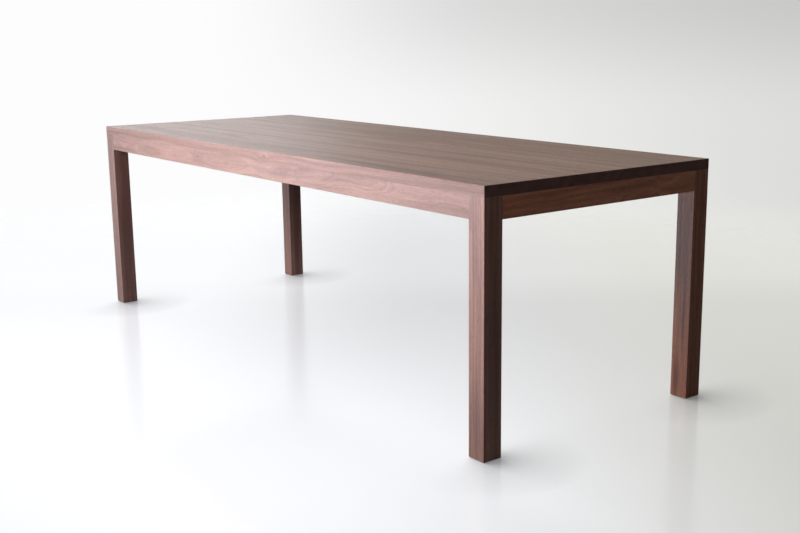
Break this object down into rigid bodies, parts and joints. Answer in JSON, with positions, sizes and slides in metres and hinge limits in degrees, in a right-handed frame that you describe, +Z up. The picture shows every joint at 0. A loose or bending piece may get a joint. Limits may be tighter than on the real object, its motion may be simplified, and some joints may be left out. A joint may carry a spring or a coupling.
{
  "type": "parsons dining table",
  "caption": "Long rectangular dining table with square legs flush with the aprons and with the edge of a thick solid-wood top.",
  "frame": {"origin": "on the floor under the middle of the top", "axes": "+X along the table, +Y across it, +Z up; the front long side is -Y"},
  "size_m": [2.4384, 0.9144, 0.762],
  "materials": {
    "walnut_top": "clear matt oil on black walnut, grain along X",
    "walnut_leg": "clear matt oil on black walnut, grain upright",
    "walnut_long_apron": "clear matt oil on black walnut, grain along X",
    "walnut_end_apron": "clear matt oil on black walnut, grain along Y",
    "maple_block": "sanded hard maple",
    "walnut_rail": "sanded black walnut, unfinished, grain along Y",
    "brass": "turned",
    "zinc_steel": "bright zinc plate",
    "screw_steel": "yellow zinc plate",
    "clip_steel": "pressed sheet, zinc plate",
    "nylon": "moulded, dark brown"
  },
  "bodies": {
    "root": {"top_board_1": "walnut_top", "top_board_2": "walnut_top", "top_board_3": "walnut_top", "top_board_4": "walnut_top", "top_board_5": "walnut_top", "top_board_6": "walnut_top", "leg_front_left": "walnut_leg", "leg_front_right": "walnut_leg", "leg_back_right": "walnut_leg", "leg_back_left": "walnut_leg", "apron_front": "walnut_long_apron", "apron_back": "walnut_long_apron", "apron_left": "walnut_end_apron", "apron_right": "walnut_end_apron", "corner_block_front_left": "maple_block", "corner_block_front_right": "maple_block", "corner_block_back_right": "maple_block", "corner_block_back_left": "maple_block", "cross_rail_left": "walnut_rail", "cross_rail_middle": "walnut_rail", "cross_rail_right": "walnut_rail", "leg_inserts": "brass", "leg_bolts": "zinc_steel", "bolt_washers": "zinc_steel", "block_screws": "screw_steel", "rail_screws": "screw_steel", "clip_screws": "screw_steel", "glide_screws": "screw_steel", "top_clips": "clip_steel", "glide_front_left": "nylon", "glide_front_right": "nylon", "glide_back_right": "nylon", "glide_back_left": "nylon"}
  },
  "joints": []
}
